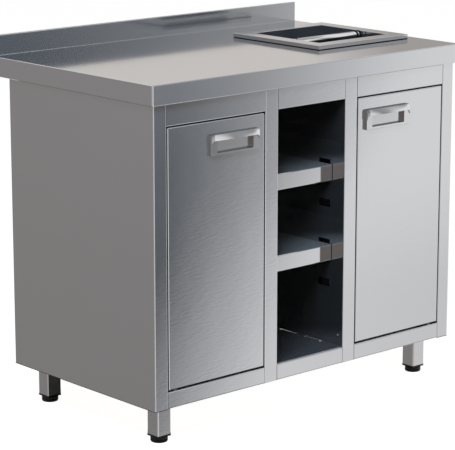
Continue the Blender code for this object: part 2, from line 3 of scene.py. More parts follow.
import bmesh
import bpy
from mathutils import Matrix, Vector


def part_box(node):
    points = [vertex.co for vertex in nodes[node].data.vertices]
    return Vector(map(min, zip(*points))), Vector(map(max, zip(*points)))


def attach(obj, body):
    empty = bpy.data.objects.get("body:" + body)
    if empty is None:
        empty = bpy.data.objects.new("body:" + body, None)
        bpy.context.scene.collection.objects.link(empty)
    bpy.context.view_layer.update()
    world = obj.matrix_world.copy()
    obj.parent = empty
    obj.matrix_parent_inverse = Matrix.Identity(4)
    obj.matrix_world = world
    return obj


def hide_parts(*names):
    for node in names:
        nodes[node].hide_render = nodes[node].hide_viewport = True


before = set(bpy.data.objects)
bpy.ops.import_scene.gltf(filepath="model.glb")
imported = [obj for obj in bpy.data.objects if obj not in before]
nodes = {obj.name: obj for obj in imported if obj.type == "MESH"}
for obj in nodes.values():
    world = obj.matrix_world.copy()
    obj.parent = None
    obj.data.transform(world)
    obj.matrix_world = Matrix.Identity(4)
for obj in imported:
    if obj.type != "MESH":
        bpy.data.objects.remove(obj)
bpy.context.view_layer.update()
scene = bpy.context.scene
scene.view_settings.view_transform = "Standard"
print("frame loaded with", len(nodes), "nodes")


# Camera at the photograph's angle, for a picture of 455 x 450
photoCamera = {
    "location": (-3.48375, -3.89705, 1.60895),
    "yaw": 41.718,  # degrees from +Y towards +X
    "pitch": 12.892,  # degrees down
    "lens": 169.53,
    "sensor": 36.0,
    "clipEnd": 200.0,
}


def makeCamera(p):
    lensData = bpy.data.cameras.new("photoCamera")
    lensData.lens = p["lens"]
    lensData.sensor_width = p["sensor"]
    lensData.clip_end = p["clipEnd"]
    camera = bpy.data.objects.new("photoCamera", lensData)
    camera.location = p["location"]
    camera.rotation_euler = (math.radians(90 - p["pitch"]), 0.0, -math.radians(p["yaw"]))
    scene.collection.objects.link(camera)
    scene.camera = camera


makeCamera(photoCamera)
print("camera placed")


# Pale floor, white surroundings, one soft lamp, and grey studio flags that only reflections see
studio = {
    "floorSize": 120.0,
    "floorColour": (0.80, 0.62, 0.50),  # neutral under the bluish lamp
    "floorGlow": 0.94,
    "surroundStrength": 1.0,
    "deepStrength": 0.03,  # what is left after two reflections, as inside the niche
    "deepFrom": 1.5,
    "fillStrength": 0.10,
    "lampPlace": (-1.40, -1.13, 2.15),
    "lampAim": (0.0, -0.25, 0.5),
    "lampSize": 0.90,
    "lampPower": 57.0,
    "lampColour": (0.62, 0.80, 1.0),
    "flagCentre": (0.0, 0.0, 0.5),
}
# The flag in front is dark, with a soft slanting edge and greys to its left: rows of (elevation, azimuth
# where the edge starts, where it ends, dark tone, light tone, bend of the edge), in degrees from the counter
frontFlag = {
    "colour": (1.0, 1.0, 1.02), "distance": 400.0, "steps": 5,
    "farGrey": (14.0, 0.70), "nearGrey": (3.2, 0.40),
    "rows": [(-28.0, 34.4, 38.5, 0.02, 0.90, 1.0), (-17.0, 38.5, 43.0, 0.03, 0.91, 1.0),
             (-14.0, 39.6, 44.6, 0.03, 1.0, 1.0), (-12.0, 39.7, 45.6, 0.06, 1.0, 1.3),
             (-9.0, 39.9, 46.9, 0.12, 1.0, 1.3), (-3.0, 39.9, 46.7, 0.16, 1.0, 1.3)],
}


def evenly(low, high, count):
    return [(low + (high - low) * step / (count - 1), 1.0) for step in range(count)]


# The other flags: colour, distance, how many reflections before it shows, rows of (elevation, how much of the
# shading shows there), and the shading from left to right as (azimuth, tone)
studioFlags = {
    "hoodFlag": ((1.0, 1.0, 1.02), 400.0, 0, [(-3.0, 0.6), (4.0, 1.0), (30.0, 1.0)],
                 [(30.0, 1.0), (37.3, 0.82), (42.8, 0.32), (47.0, 0.40), (53.0, 1.0)]),
    "upstandFlag": ((1.0, 1.0, 1.02), 380.0, 2, [(2.0, 1.0), (26.0, 1.0)],
                    [(-60.0, 0.38), (-30.0, 0.38), (0.0, 0.38), (22.0, 0.30), (31.0, 0.02), (36.0, 0.04),
                     (39.5, 0.22), (43.2, 0.48), (62.0, 0.54)]),
    "floorFlag": ((1.0, 0.995, 1.01), 440.0, 0, [(-40.0, 1.1), (-16.0, 1.0), (-12.8, 0.0)],
                  [(26.0, 0.92), (40.0, 0.92), (44.0, 0.89), (48.0, 0.84), (56.0, 0.82)]),
    "sideFlag": ((0.305, 0.288, 0.285), 400.0, 0, [(-32.0, 1.0), (-18.0, 0.9), (-10.0, 0.0), (28.0, 0.0)],
                 [(-156.0, 0.90), (-126.0, 0.90)]),
    "cameraSideFlag": ((0.50, 0.49, 0.48), 440.0, 0, [(-38.0, 1.0), (30.0, 1.0)],
                       [(-126.0, 0.60)] + evenly(-112.0, -8.0, 8) + [(8.0, 1.35)]),
    "rightSideFlag": ((0.72, 0.71, 0.70), 440.0, 0, [(-40.0, 1.0), (-5.0, 1.0)],
                      [(108.0, 1.25), (122.0, 1.0), (140.0, 0.9), (165.0, 0.75)]),
    "nicheFlag": ((0.21, 0.18, 0.16), 250.0, 2, [(-32.0, 1.0), (6.0, 1.0)], evenly(-54.0, -30.0, 2)),
    "groundFlag": ((0.05, 0.05, 0.05), 470.0, 0, [(-86.0, 1.0), (-44.0, 1.0)], evenly(-180.0, 180.0, 25)),
    "topFlag": ((0.685, 0.645, 0.615), 400.0, 0, [(-4.0, 1.0), (34.0, 1.0)],
                [(112.0, 0.60), (133.8, 0.60), (136.0, 1.0), (158.0, 1.0)]),
}
# How the rows below the horizon flatten, by degrees of azimuth from a middle, in front of the counter
rowSlope = {"perDegree": 0.0152, "middle": 40.0, "from": 20.0, "to": 70.0}
# Flat cards that only reflections see: (brightness, half width, half depth, centre)
studioCards = {
    "ceilingCard": (0.45, 22.0, 22.0, (0.0, 0.0, 25.0)),
    # underShade is a painted shadow of the counter on the floor, seen only in reflections
    "underShade": (0.015, 0.19, 0.25, (-0.27, -0.02, 0.004)),
}


def mathNode(tree, operation, *values):
    made = tree.nodes.new("ShaderNodeMath")
    made.operation = operation
    for socket, value in zip(made.inputs, values):
        if isinstance(value, bpy.types.NodeSocket):
            tree.links.new(value, socket)
        else:
            socket.default_value = value
    return made.outputs[0]


def addStage(name, mesh, material):
    mesh.materials.append(material)
    made = bpy.data.objects.new(name, mesh)
    scene.collection.objects.link(made)
    return made


def makeFloor(p):
    material = bpy.data.materials.new("paleFloor")
    material.use_nodes = True
    tree = material.node_tree
    tree.nodes.clear()
    out = tree.nodes.new("ShaderNodeOutputMaterial")
    add = tree.nodes.new("ShaderNodeAddShader")
    diffuse = tree.nodes.new("ShaderNodeBsdfDiffuse")
    glow = tree.nodes.new("ShaderNodeEmission")
    path = tree.nodes.new("ShaderNodeLightPath")
    diffuse.inputs["Color"].default_value = (*p["floorColour"], 1.0)
    seen = mathNode(tree, "MULTIPLY", path.outputs["Is Camera Ray"], p["floorGlow"])
    tree.links.new(seen, glow.inputs["Strength"])
    tree.links.new(diffuse.outputs[0], add.inputs[0])
    tree.links.new(glow.outputs[0], add.inputs[1])
    tree.links.new(add.outputs[0], out.inputs["Surface"])
    bm = bmesh.new()
    bmesh.ops.create_grid(bm, x_segments=1, y_segments=1, size=p["floorSize"] / 2)
    mesh = bpy.data.meshes.new("floor")
    bm.to_mesh(mesh)
    bm.free()
    floor = addStage("floor", mesh, material)
    floor.visible_glossy = False


def makeSurroundings(p):
    world = bpy.data.worlds.new("whiteStudio")
    scene.world = world
    world.use_nodes = True
    tree = world.node_tree
    tree.nodes.clear()
    out = tree.nodes.new("ShaderNodeOutputWorld")
    back = tree.nodes.new("ShaderNodeBackground")
    path = tree.nodes.new("ShaderNodeLightPath")

    # White to the eye, to shine and through glass; dimmer after several reflections; bluish as fill light
    seen = mathNode(tree, "MAXIMUM", path.outputs["Is Camera Ray"], path.outputs["Is Glossy Ray"])
    seen = mathNode(tree, "MAXIMUM", seen, path.outputs["Is Transmission Ray"])
    deep = mathNode(tree, "GREATER_THAN", path.outputs["Glossy Depth"], p["deepFrom"])
    lost = mathNode(tree, "MULTIPLY", deep, p["surroundStrength"] - p["deepStrength"])
    bright = mathNode(tree, "SUBTRACT", p["surroundStrength"], lost)
    unseen = mathNode(tree, "MULTIPLY", mathNode(tree, "SUBTRACT", 1.0, seen), p["fillStrength"])
    strength = mathNode(tree, "ADD", mathNode(tree, "MULTIPLY", seen, bright), unseen)
    tree.links.new(strength, back.inputs["Strength"])
    tint = tree.nodes.new("ShaderNodeMix")
    tint.data_type = "RGBA"
    tint.inputs[6].default_value = (*p["lampColour"], 1.0)
    tint.inputs[7].default_value = (1.0, 1.0, 1.0, 1.0)
    tree.links.new(seen, tint.inputs["Factor"])
    tree.links.new(tint.outputs[2], back.inputs["Color"])
    tree.links.new(back.outputs[0], out.inputs["Surface"])


def makeLamp(p):
    lampData = bpy.data.lights.new("softLamp", "AREA")
    lampData.shape = "SQUARE"
    lampData.size = p["lampSize"]
    lampData.energy = p["lampPower"]
    lampData.color = p["lampColour"]
    lamp = bpy.data.objects.new("softLamp", lampData)
    lamp.location = p["lampPlace"]
    towards = Vector(p["lampAim"]) - lamp.location
    lamp.rotation_euler = towards.to_track_quat("-Z", "Y").to_euler()
    lamp.visible_glossy = False
    scene.collection.objects.link(lamp)


def makeCard(name, bm, colour, after, toned=False):
    material = bpy.data.materials.new(name)
    material.use_nodes = True
    tree = material.node_tree
    tree.nodes.clear()
    out = tree.nodes.new("ShaderNodeOutputMaterial")
    glow = tree.nodes.new("ShaderNodeEmission")
    glow.inputs["Color"].default_value = (*colour, 1.0)
    if toned:
        tone = tree.nodes.new("ShaderNodeAttribute")
        tone.attribute_name = "tone"
        tree.links.new(tone.outputs["Fac"], glow.inputs["Strength"])
    shown = glow.outputs[0]
    if after:  # clear until the light has been reflected so often
        path = tree.nodes.new("ShaderNodeLightPath")
        late = mathNode(tree, "GREATER_THAN", path.outputs["Glossy Depth"], after - 0.5)
        clear = tree.nodes.new("ShaderNodeBsdfTransparent")
        mix = tree.nodes.new("ShaderNodeMixShader")
        tree.links.new(late, mix.inputs[0])
        tree.links.new(clear.outputs[0], mix.inputs[1])
        tree.links.new(shown, mix.inputs[2])
        shown = mix.outputs[0]
    tree.links.new(shown, out.inputs["Surface"])
    material.cycles.emission_sampling = "NONE"  # leaves the light samples to the lamp
    mesh = bpy.data.meshes.new(name)
    bm.to_mesh(mesh)
    bm.free()
    card = addStage(name, mesh, material)
    card.visible_camera = False
    card.visible_diffuse = False
    card.visible_transmission = False
    card.visible_shadow = False


def makeFlag(p, name, colour, distance, after, rows):
    # A grid bent into place, with its tone kept at each corner
    bm = bmesh.new()
    down, across = len(rows) - 1, len(rows[0][1]) - 1
    bmesh.ops.create_grid(bm, x_segments=across, y_segments=down, size=0.5)
    tone = bm.verts.layers.float.new("tone")
    for vert in bm.verts:
        level, places = rows[round((vert.co.y + 0.5) * down)]
        azimuth, vert[tone] = places[round((vert.co.x + 0.5) * across)]
        if rowSlope["from"] < azimuth < rowSlope["to"] and level < 0.0:
            level *= 1.0 - rowSlope["perDegree"] * (azimuth - rowSlope["middle"])
        a, e = math.radians(azimuth), math.radians(level)
        ray = Vector((math.sin(a) * math.cos(e), -math.cos(a) * math.cos(e), math.sin(e)))
        vert.co = Vector(p["flagCentre"]) + ray * distance
    makeCard(name, bm, colour, after, True)


def makeFrontFlag(p, flag):
    rows = []
    lead, leadTone = flag["nearGrey"]
    for level, start, end, dark, light, bend in flag["rows"]:
        places = [flag["farGrey"], (start - lead, leadTone)]
        for step in range(flag["steps"] + 1):
            share = step / flag["steps"]
            places.append((start + (end - start) * share, dark + (light - dark) * share ** bend))
        rows.append((level, places))
    makeFlag(p, "frontFlag", flag["colour"], flag["distance"], 0, rows)


def makeFlags(p, flags):
    for name, (colour, distance, after, levels, shading) in flags.items():
        rows = [(level, [(azimuth, 1.0 + (tone - 1.0) * shown) for azimuth, tone in shading])
                for level, shown in levels]
        makeFlag(p, name, colour, distance, after, rows)


def makeCards(cards):
    for name, (tone, halfWidth, halfDepth, centre) in cards.items():
        bm = bmesh.new()
        bmesh.ops.create_grid(bm, x_segments=1, y_segments=1, size=1.0)
        bmesh.ops.scale(bm, vec=(halfWidth, halfDepth, 1.0), verts=bm.verts)
        bmesh.ops.translate(bm, vec=centre, verts=bm.verts)
        makeCard(name, bm, (tone, tone, tone), 0)


makeFloor(studio)
makeSurroundings(studio)
makeLamp(studio)
makeFrontFlag(studio, frontFlag)
makeFlags(studio, studioFlags)
makeCards(studioCards)
print("studio set up")


# Shared effects as node groups
def newGroup(name, inputs, outputs):
    group = bpy.data.node_groups.new(name, "ShaderNodeTree")
    for title, kind, value in inputs:
        socket = group.interface.new_socket(title, in_out="INPUT", socket_type=kind)
        socket.default_value = value
    for title, kind in outputs:
        group.interface.new_socket(title, in_out="OUTPUT", socket_type=kind)
    start = group.nodes.new("NodeGroupInput")
    end = group.nodes.new("NodeGroupOutput")
    return group, start, end


def noiseNode(tree, vector, scale, detail, roughness):
    made = tree.nodes.new("ShaderNodeTexNoise")
    made.inputs["Scale"].default_value = scale
    made.inputs["Detail"].default_value = detail
    made.inputs["Roughness"].default_value = roughness
    tree.links.new(vector, made.inputs["Vector"])
    return made.outputs[0]


# Noises of the brushed grain: scale, detail, roughness
brushedNoises = {"scratch": (1.0, 3.0, 0.6), "dash": (1.0, 1.5, 0.5), "hand": (4.5, 3.0, 0.5),
                 "wave": (11.0, 1.0, 0.5)}


def makeBrushedGroup(p):
    # Fine scratches along one direction, short brushed dashes, hand smudges and a slight wave of the sheet
    group, start, end = newGroup("brushedGrain", [
        ("Scratch", "NodeSocketVector", (9.0, 9.0, 1100.0)),
        ("Dash", "NodeSocketVector", (60.0, 60.0, 260.0)),
        ("Colour", "NodeSocketColor", (0.645, 0.645, 0.65, 1.0)),
        ("Streak", "NodeSocketFloat", 0.06),
        ("Smudge", "NodeSocketFloat", 0.03),
        ("Roughness", "NodeSocketFloat", 0.10),
        ("Spread", "NodeSocketFloat", 0.03),
        ("Wave", "NodeSocketFloat", 8.0),
        ("Metal", "NodeSocketVector", (0.97, 0.88, 0.88)),
    ], [("Colour", "NodeSocketColor"), ("Roughness", "NodeSocketFloat"), ("Metal", "NodeSocketFloat"),
        ("Height", "NodeSocketFloat")])
    place = group.nodes.new("ShaderNodeTexCoord")

    def stretched(title):
        made = group.nodes.new("ShaderNodeVectorMath")
        made.operation = "MULTIPLY"
        group.links.new(place.outputs["Object"], made.inputs[0])
        group.links.new(start.outputs[title], made.inputs[1])
        return made.outputs[0]

    scratch = mathNode(group, "SUBTRACT", noiseNode(group, stretched("Scratch"), *p["scratch"]), 0.5)
    dash = noiseNode(group, stretched("Dash"), *p["dash"])
    hand = mathNode(group, "SUBTRACT", noiseNode(group, place.outputs["Object"], *p["hand"]), 0.5)
    wave = noiseNode(group, place.outputs["Object"], *p["wave"])
    streak = mathNode(group, "MULTIPLY", scratch, start.outputs["Streak"])
    smudge = mathNode(group, "MULTIPLY", hand, start.outputs["Smudge"])
    tone = mathNode(group, "ADD", 1.0, mathNode(group, "ADD", streak, smudge))
    paint = group.nodes.new("ShaderNodeVectorMath")
    paint.operation = "SCALE"
    group.links.new(start.outputs["Colour"], paint.inputs[0])
    group.links.new(tone, paint.inputs["Scale"])
    uneven = mathNode(group, "MULTIPLY", mathNode(group, "ADD", scratch, hand), start.outputs["Spread"])
    rough = mathNode(group, "ADD", start.outputs["Roughness"], uneven)
    height = mathNode(group, "ADD", dash, mathNode(group, "MULTIPLY", wave, start.outputs["Wave"]))
    # Metal share by the way a face is turned: sideways, to the front, upwards
    squared = group.nodes.new("ShaderNodeVectorMath")
    squared.operation = "MULTIPLY"
    shared = group.nodes.new("ShaderNodeVectorMath")
    shared.operation = "DOT_PRODUCT"
    group.links.new(place.outputs["Normal"], squared.inputs[0])
    group.links.new(place.outputs["Normal"], squared.inputs[1])
    group.links.new(squared.outputs[0], shared.inputs[0])
    group.links.new(start.outputs["Metal"], shared.inputs[1])
    group.links.new(shared.outputs["Value"], end.inputs["Metal"])
    group.links.new(paint.outputs[0], end.inputs["Colour"])
    group.links.new(rough, end.inputs["Roughness"])
    group.links.new(height, end.inputs["Height"])
    return group


# Noises of the moulded skin, and how far its clouds change the roughness
mouldedNoises = {"skin": (1.0, 2.0, 0.55), "cloud": (38.0, 4.0, 0.55), "uneven": 0.18}


def makeMouldedGroup(p):
    # Fine sparked skin of moulded plastic and rubber, with a little dust in its colour
    group, start, end = newGroup("mouldedSkin", [
        ("Colour", "NodeSocketColor", (0.015, 0.015, 0.016, 1.0)),
        ("Dust", "NodeSocketColor", (0.05, 0.05, 0.05, 1.0)),
        ("Amount", "NodeSocketFloat", 0.25),
        ("Grain", "NodeSocketFloat", 900.0),
        ("Roughness", "NodeSocketFloat", 0.5),
    ], [("Colour", "NodeSocketColor"), ("Roughness", "NodeSocketFloat"), ("Height", "NodeSocketFloat")])
    place = group.nodes.new("ShaderNodeTexCoord")
    scaled = group.nodes.new("ShaderNodeVectorMath")
    scaled.operation = "SCALE"
    group.links.new(place.outputs["Object"], scaled.inputs[0])
    group.links.new(start.outputs["Grain"], scaled.inputs["Scale"])
    skin = noiseNode(group, scaled.outputs[0], *p["skin"])
    cloud = noiseNode(group, place.outputs["Object"], *p["cloud"])
    mix = group.nodes.new("ShaderNodeMix")
    mix.data_type = "RGBA"
    group.links.new(mathNode(group, "MULTIPLY", cloud, start.outputs["Amount"]), mix.inputs["Factor"])
    group.links.new(start.outputs["Colour"], mix.inputs[6])
    group.links.new(start.outputs["Dust"], mix.inputs[7])
    uneven = mathNode(group, "MULTIPLY", mathNode(group, "SUBTRACT", cloud, 0.5), p["uneven"])
    group.links.new(mix.outputs[2], end.inputs["Colour"])
    group.links.new(mathNode(group, "ADD", start.outputs["Roughness"], uneven), end.inputs["Roughness"])
    group.links.new(skin, end.inputs["Height"])
    return group


brushedGrain = makeBrushedGroup(brushedNoises)
mouldedSkin = makeMouldedGroup(mouldedNoises)


def newMaterial(name):
    material = bpy.data.materials.new(name)
    material.use_nodes = True
    return material, material.node_tree, material.node_tree.nodes["Principled BSDF"]


def placeGroup(tree, group, values):
    made = tree.nodes.new("ShaderNodeGroup")
    made.node_tree = group
    for title, value in values.items():
        made.inputs[title].default_value = value
    return made


def bumpFrom(tree, height, shader, strength, distance):
    bump = tree.nodes.new("ShaderNodeBump")
    bump.inputs["Strength"].default_value = strength
    bump.inputs["Distance"].default_value = distance
    tree.links.new(height, bump.inputs["Height"])
    tree.links.new(bump.outputs["Normal"], shader.inputs["Normal"])


# Sheets brushed along X, on faces that stand up and on faces that lie flat
standingGrain = {"Scratch": (9.0, 9.0, 1100.0), "Dash": (38.0, 38.0, 210.0), "Streak": 0.06, "Smudge": 0.02,
                 "Spread": 0.03, "Colour": (0.67, 0.67, 0.675, 1.0)}
lyingGrain = {"Scratch": (9.0, 1100.0, 1100.0), "Dash": (28.0, 170.0, 170.0), "Streak": 0.05, "Smudge": 0.02,
              "Spread": 0.03, "Colour": (0.67, 0.67, 0.675, 1.0)}
# A metal share below one leaves the soft lustre of fine brushing
steelFinishes = {
    "sheetSteel": {**standingGrain, "Roughness": 0.06, "Wave": 1.6, "Metal": (0.97, 0.88, 0.88)},
    "topSteel": {**lyingGrain, "Roughness": 0.10, "Wave": 2.0, "Metal": (0.97, 0.88, 0.945)},
    "chuteSteel": {**lyingGrain, "Colour": (0.60, 0.60, 0.605, 1.0), "Roughness": 0.12, "Wave": 1.0,
                   "Metal": (0.95, 0.92, 0.94)},
    "shelfSteel": {**lyingGrain, "Roughness": 0.08, "Wave": 1.0, "Metal": (0.97, 0.94, 0.70)},
    "panelSteel": {**lyingGrain, "Roughness": 0.10, "Wave": 2.0, "Metal": (0.97, 0.94, 0.89)},
    "pocketSteel": {**standingGrain, "Roughness": 0.13, "Spread": 0.04, "Wave": 0.0,
                    "Metal": (0.97, 0.90, 0.90)},
    # Painted shade: a dark steel for the handle faces turned up or down, where shade falls
    "paintedShadeSteel": {**lyingGrain, "Colour": (0.20, 0.19, 0.185, 1.0), "Roughness": 0.25, "Wave": 0.0,
                    "Metal": (0.97, 0.97, 0.97)},
    "polishedSteel": {**lyingGrain, "Scratch": (14.0, 1400.0, 1400.0), "Dash": (60.0, 200.0, 200.0),
                      "Colour": (0.70, 0.70, 0.705, 1.0), "Streak": 0.03, "Spread": 0.02, "Roughness": 0.07,
                      "Wave": 0.0, "Metal": (0.97, 0.97, 0.97)},
}
steelDepths = {"sheetSteel": 0.000034, "usual": 0.000010}  # depth of the grain in metres


def makeSteel(name, values):
    material, tree, shader = newMaterial(name)
    grain = placeGroup(tree, brushedGrain, values)
    if len(set(values["Metal"])) == 1:
        shader.inputs["Metallic"].default_value = values["Metal"][0]
    else:
        tree.links.new(grain.outputs["Metal"], shader.inputs["Metallic"])
    tree.links.new(grain.outputs["Colour"], shader.inputs["Base Color"])
    tree.links.new(grain.outputs["Roughness"], shader.inputs["Roughness"])
    bumpFrom(tree, grain.outputs["Height"], shader, 1.0, steelDepths.get(name, steelDepths["usual"]))
    return material


zincFinish = {"colour": (0.46, 0.47, 0.48, 1.0), "pale": (0.60, 0.61, 0.62, 1.0), "spangle": 260.0,
              "roughness": 0.34, "uneven": 0.12}


def makeZinc(p):
    # Frosted crystals of a hot-dipped coat
    material, tree, shader = newMaterial("galvanisedZinc")
    place = tree.nodes.new("ShaderNodeTexCoord")
    cells = tree.nodes.new("ShaderNodeTexVoronoi")
    cells.inputs["Scale"].default_value = p["spangle"]
    tree.links.new(place.outputs["Object"], cells.inputs["Vector"])
    split = tree.nodes.new("ShaderNodeSeparateColor")
    tree.links.new(cells.outputs["Color"], split.inputs[0])
    mix = tree.nodes.new("ShaderNodeMix")
    mix.data_type = "RGBA"
    mix.inputs[6].default_value = p["colour"]
    mix.inputs[7].default_value = p["pale"]
    tree.links.new(split.outputs[0], mix.inputs["Factor"])
    tree.links.new(mix.outputs[2], shader.inputs["Base Color"])
    uneven = mathNode(tree, "MULTIPLY_ADD", split.outputs[1], p["uneven"], p["roughness"] - p["uneven"] / 2)
    tree.links.new(uneven, shader.inputs["Roughness"])
    shader.inputs["Metallic"].default_value = 1.0
    return material


mouldedFinishes = {
    "blackPlastic": ({"Colour": (0.010, 0.010, 0.011, 1.0), "Dust": (0.03, 0.03, 0.03, 1.0), "Amount": 0.25,
                      "Grain": 1400.0, "Roughness": 0.32}, 0.30),
    "blackRubber": ({"Colour": (0.008, 0.008, 0.008, 1.0), "Dust": (0.03, 0.03, 0.03, 1.0), "Amount": 0.3,
                     "Grain": 2200.0, "Roughness": 0.8}, 0.12),
    "greyBinPlastic": ({"Colour": (0.09, 0.09, 0.10, 1.0), "Dust": (0.16, 0.15, 0.14, 1.0), "Amount": 0.35,
                        "Grain": 700.0, "Roughness": 0.5}, 0.3),
}
mouldedBump = (0.2, 0.0002)  # strength, distance


def makeMoulded(name, values, shine):
    material, tree, shader = newMaterial(name)
    skin = placeGroup(tree, mouldedSkin, values)
    tree.links.new(skin.outputs["Colour"], shader.inputs["Base Color"])
    tree.links.new(skin.outputs["Roughness"], shader.inputs["Roughness"])
    shader.inputs["Specular IOR Level"].default_value = shine
    bumpFrom(tree, skin.outputs["Height"], shader, *mouldedBump)
    return material


boardFinish = {"dark": (0.16, 0.11, 0.07, 1.0), "light": (0.42, 0.32, 0.22, 1.0), "layers": 330.0,
               "roughness": 0.62, "uneven": 0.2, "stretch": (14.0, 60.0, 900.0), "grain": (1.0, 4.0, 0.55),
               "grainShare": 0.5, "bump": (0.25, 0.0003)}


def makeBoard(p):
    # Plies one above another, with a little grain along the board
    material, tree, shader = newMaterial("laminatedBoard")
    place = tree.nodes.new("ShaderNodeTexCoord")
    stretch = tree.nodes.new("ShaderNodeMapping")
    stretch.inputs["Scale"].default_value = p["stretch"]
    tree.links.new(place.outputs["Object"], stretch.inputs["Vector"])
    grain = noiseNode(tree, stretch.outputs[0], *p["grain"])
    apart = tree.nodes.new("ShaderNodeSeparateXYZ")
    tree.links.new(place.outputs["Object"], apart.inputs[0])
    plies = mathNode(tree, "PINGPONG", mathNode(tree, "MULTIPLY", apart.outputs["Z"], p["layers"]), 1.0)
    share = mathNode(tree, "ADD", mathNode(tree, "MULTIPLY", plies, 1.0 - p["grainShare"]),
                     mathNode(tree, "MULTIPLY", grain, p["grainShare"]))
    mix = tree.nodes.new("ShaderNodeMix")
    mix.data_type = "RGBA"
    mix.inputs[6].default_value = p["dark"]
    mix.inputs[7].default_value = p["light"]
    tree.links.new(share, mix.inputs["Factor"])
    tree.links.new(mix.outputs[2], shader.inputs["Base Color"])
    uneven = mathNode(tree, "MULTIPLY_ADD", grain, p["uneven"], p["roughness"] - p["uneven"] / 2)
    tree.links.new(uneven, shader.inputs["Roughness"])
    bumpFrom(tree, grain, shader, *p["bump"])
    return material


steels = {name: makeSteel(name, values) for name, values in steelFinishes.items()}
moulded = {name: makeMoulded(name, values, shine) for name, (values, shine) in mouldedFinishes.items()}
zinc = makeZinc(zincFinish)
board = makeBoard(boardFinish)
print("materials made")


# Finishes of the CAD nodes, by the start of their names; the first that fits is used
nodeFinishes = [
    ("worktop_core", board),
    ("worktop", steels["topSteel"]),
    ("chute_seal", moulded["blackRubber"]),
    ("chute", steels["chuteSteel"]),
    ("shelf_clip", zinc),
    ("shelf", steels["shelfSteel"]),
    ("bottom_panel", steels["panelSteel"]),
    ("knock_bar", steels["polishedSteel"]),
    ("handle", steels["polishedSteel"]),
    ("bar_ring", moulded["blackRubber"]),
    ("hinge_pin", zinc),
    ("hinge_bush", moulded["blackPlastic"]),
    ("catch", moulded["blackPlastic"]),
    ("leg_insert", moulded["blackPlastic"]),
    ("foot", moulded["blackPlastic"]),
    ("waste_bin", moulded["greyBinPlastic"]),
    ("", steels["sheetSteel"]),
]
for nodeName, node in nodes.items():
    finish = next(material for start, material in nodeFinishes if nodeName.startswith(start))
    node.data.materials.clear()
    node.data.materials.append(finish)
print("CAD nodes finished")


mergeDistance = 0.000001


def finishPiece(name, bm, body, materials, standsFor=(), smoothAngle=None):
    bmesh.ops.remove_doubles(bm, verts=bm.verts, dist=mergeDistance)
    bmesh.ops.recalc_face_normals(bm, faces=bm.faces)
    mesh = bpy.data.meshes.new(name)
    bm.to_mesh(mesh)
    bm.free()
    for material in materials:
        mesh.materials.append(material)
    if smoothAngle:
        mesh.shade_smooth()
        mesh.set_sharp_from_angle(angle=math.radians(smoothAngle))
    piece = bpy.data.objects.new(name, mesh)
    scene.collection.objects.link(piece)
    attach(piece, body)
    if standsFor:
        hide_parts(*standsFor)


def spinProfile(bm, profile, axis, centre, steps):
    # Points of (distance along the axis, radius) turned right round it
    along = Vector(axis)
    across = along.orthogonal().normalized()
    points = [bm.verts.new(Vector(centre) + along * w + across * r) for w, r in profile]
    edges = [bm.edges.new(pair) for pair in zip(points, points[1:])]
    bmesh.ops.spin(bm, geom=points + edges, cent=centre, axis=along, angle=math.tau, steps=steps,
                   use_merge=True)


# Knock bar, turned smooth, with small end rounds
knockBar = {"endRound": 0.0012, "roundShare": 0.3, "steps": 48, "smoothAngle": 50}


def makeKnockBar(p):
    low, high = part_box("knock_bar")
    middle = (low + high) / 2
    half = (high.x - low.x) / 2
    radius = (high.z - low.z) / 2
    turn = p["endRound"]
    part = turn * p["roundShare"]
    profile = [(-half, 0.0), (-half, radius - turn), (-half + part, radius - part), (-half + turn, radius)]
    profile += [(-w, r) for w, r in reversed(profile)]
    bm = bmesh.new()
    spinProfile(bm, profile, (1, 0, 0), middle, p["steps"])
    finishPiece("knockBar", bm, "cabinet", [steels["polishedSteel"]], ["knock_bar"],
                p["smoothAngle"])


makeKnockBar(knockBar)


# Rubber rings on the bar, rounded over
barRings = {"clearance": 0.0003, "sides": 6, "steps": 48, "smoothAngle": 50}


def makeBarRings(p):
    barLow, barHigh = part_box("knock_bar")
    bore = (barHigh.z - barLow.z) / 2 + p["clearance"]
    for side in ("left", "right"):
        for number in (1, 2):
            nodeName = f"bar_ring_{side}_{number}"
            low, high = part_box(nodeName)
            middle = (low + high) / 2
            half = (high.x - low.x) / 2
            crown = (high.z - low.z) / 2
            arc = [math.pi * step / p["sides"] for step in range(p["sides"] + 1)]
            profile = [(-half * math.cos(a), bore + (crown - bore) * math.sin(a)) for a in arc]
            profile.append(profile[0])
            bm = bmesh.new()
            spinProfile(bm, profile, (1, 0, 0), middle, p["steps"])
            name = f"barRing{side.capitalize()}{number}"
            finishPiece(name, bm, "cabinet", [moulded["blackRubber"]], [nodeName],
                        p["smoothAngle"])


makeBarRings(barRings)


# Levelling feet: a turned pad on a threaded stud
levellingFoot = {"pad": 0.0205, "neck": 0.0165, "padHeight": 0.0140, "toe": 0.0025, "toeShare": 0.3,
                 "shoulder": 0.0027, "shoulderShare": 0.35, "shoulderIn": 0.0012, "groove": 0.0062,
                 "grooveDepth": 0.0012, "stud": 0.0050, "thread": 0.0006, "pitch": 0.0020,
                 "threadFrom": 0.0185, "steps": 40, "smoothAngle": 40}


